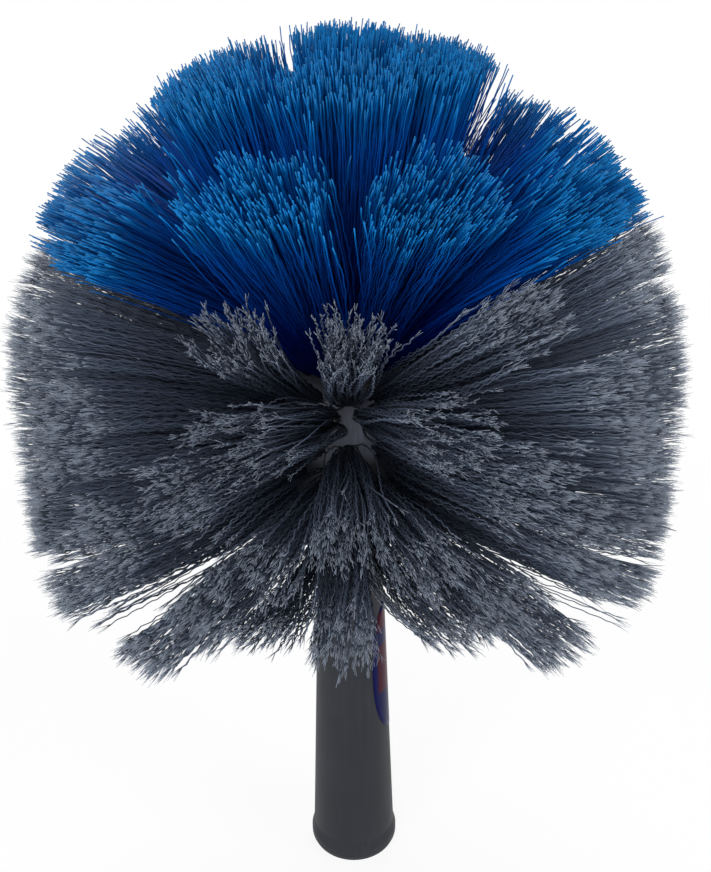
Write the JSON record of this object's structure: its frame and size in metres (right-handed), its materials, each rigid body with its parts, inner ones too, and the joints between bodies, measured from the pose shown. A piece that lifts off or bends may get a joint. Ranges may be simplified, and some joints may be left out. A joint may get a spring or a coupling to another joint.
{
  "type": "cobweb brush",
  "caption": "Domed cobweb brush head with a blue crown and grey skirt of crimped bristles, on a tapered push-on pole socket.",
  "frame": {"origin": "centre of the pole socket's mouth, in the plane of its rim", "axes": "+Z along the brush's axis from the socket's mouth to the bristle dome's tip; -Y is the side that faces the viewer in the picture; +X is to the viewer's right, where the label is"},
  "size_m": [0.2198, 0.22, 0.3165],
  "materials": {
    "moulded_plastic": "dark grey polypropylene, satin from the mould",
    "label_film": "blue and red printed film, glossy, with no lettering",
    "anchor_wire": "galvanised flat wire",
    "blue_bristle": "azure crimped filament with split tips",
    "grey_bristle": "dark grey crimped filament with split tips"
  },
  "bodies": {
    "root": {"head": "moulded_plastic", "label": "label_film", "anchors_1": "anchor_wire", "anchors_2": "anchor_wire", "anchors_3": "anchor_wire", "anchors_4": "anchor_wire", "anchors_5": "anchor_wire", "anchors_6": "anchor_wire", "anchors_7": "anchor_wire", "anchors_8": "anchor_wire", "anchors_9": "anchor_wire", "blue_tufts_1": "blue_bristle", "blue_tufts_2": "blue_bristle", "blue_tufts_3_right": "blue_bristle", "blue_tufts_3_back": "blue_bristle", "blue_tufts_3_left": "blue_bristle", "blue_tufts_3_front": "blue_bristle", "grey_tufts_4_right": "grey_bristle", "grey_tufts_4_back": "grey_bristle", "grey_tufts_4_left": "grey_bristle", "grey_tufts_4_front": "grey_bristle", "grey_tufts_5_right": "grey_bristle", "grey_tufts_5_back": "grey_bristle", "grey_tufts_5_left": "grey_bristle", "grey_tufts_5_front": "grey_bristle", "grey_tufts_6_right": "grey_bristle", "grey_tufts_6_back": "grey_bristle", "grey_tufts_6_left": "grey_bristle", "grey_tufts_6_front": "grey_bristle", "grey_tufts_7_right": "grey_bristle", "grey_tufts_7_back": "grey_bristle", "grey_tufts_7_left": "grey_bristle", "grey_tufts_7_front": "grey_bristle", "grey_tufts_8_right": "grey_bristle", "grey_tufts_8_back": "grey_bristle", "grey_tufts_8_left": "grey_bristle", "grey_tufts_8_front": "grey_bristle", "grey_tufts_9_right": "grey_bristle", "grey_tufts_9_back": "grey_bristle", "grey_tufts_9_left": "grey_bristle", "grey_tufts_9_front": "grey_bristle"}
  },
  "joints": []
}
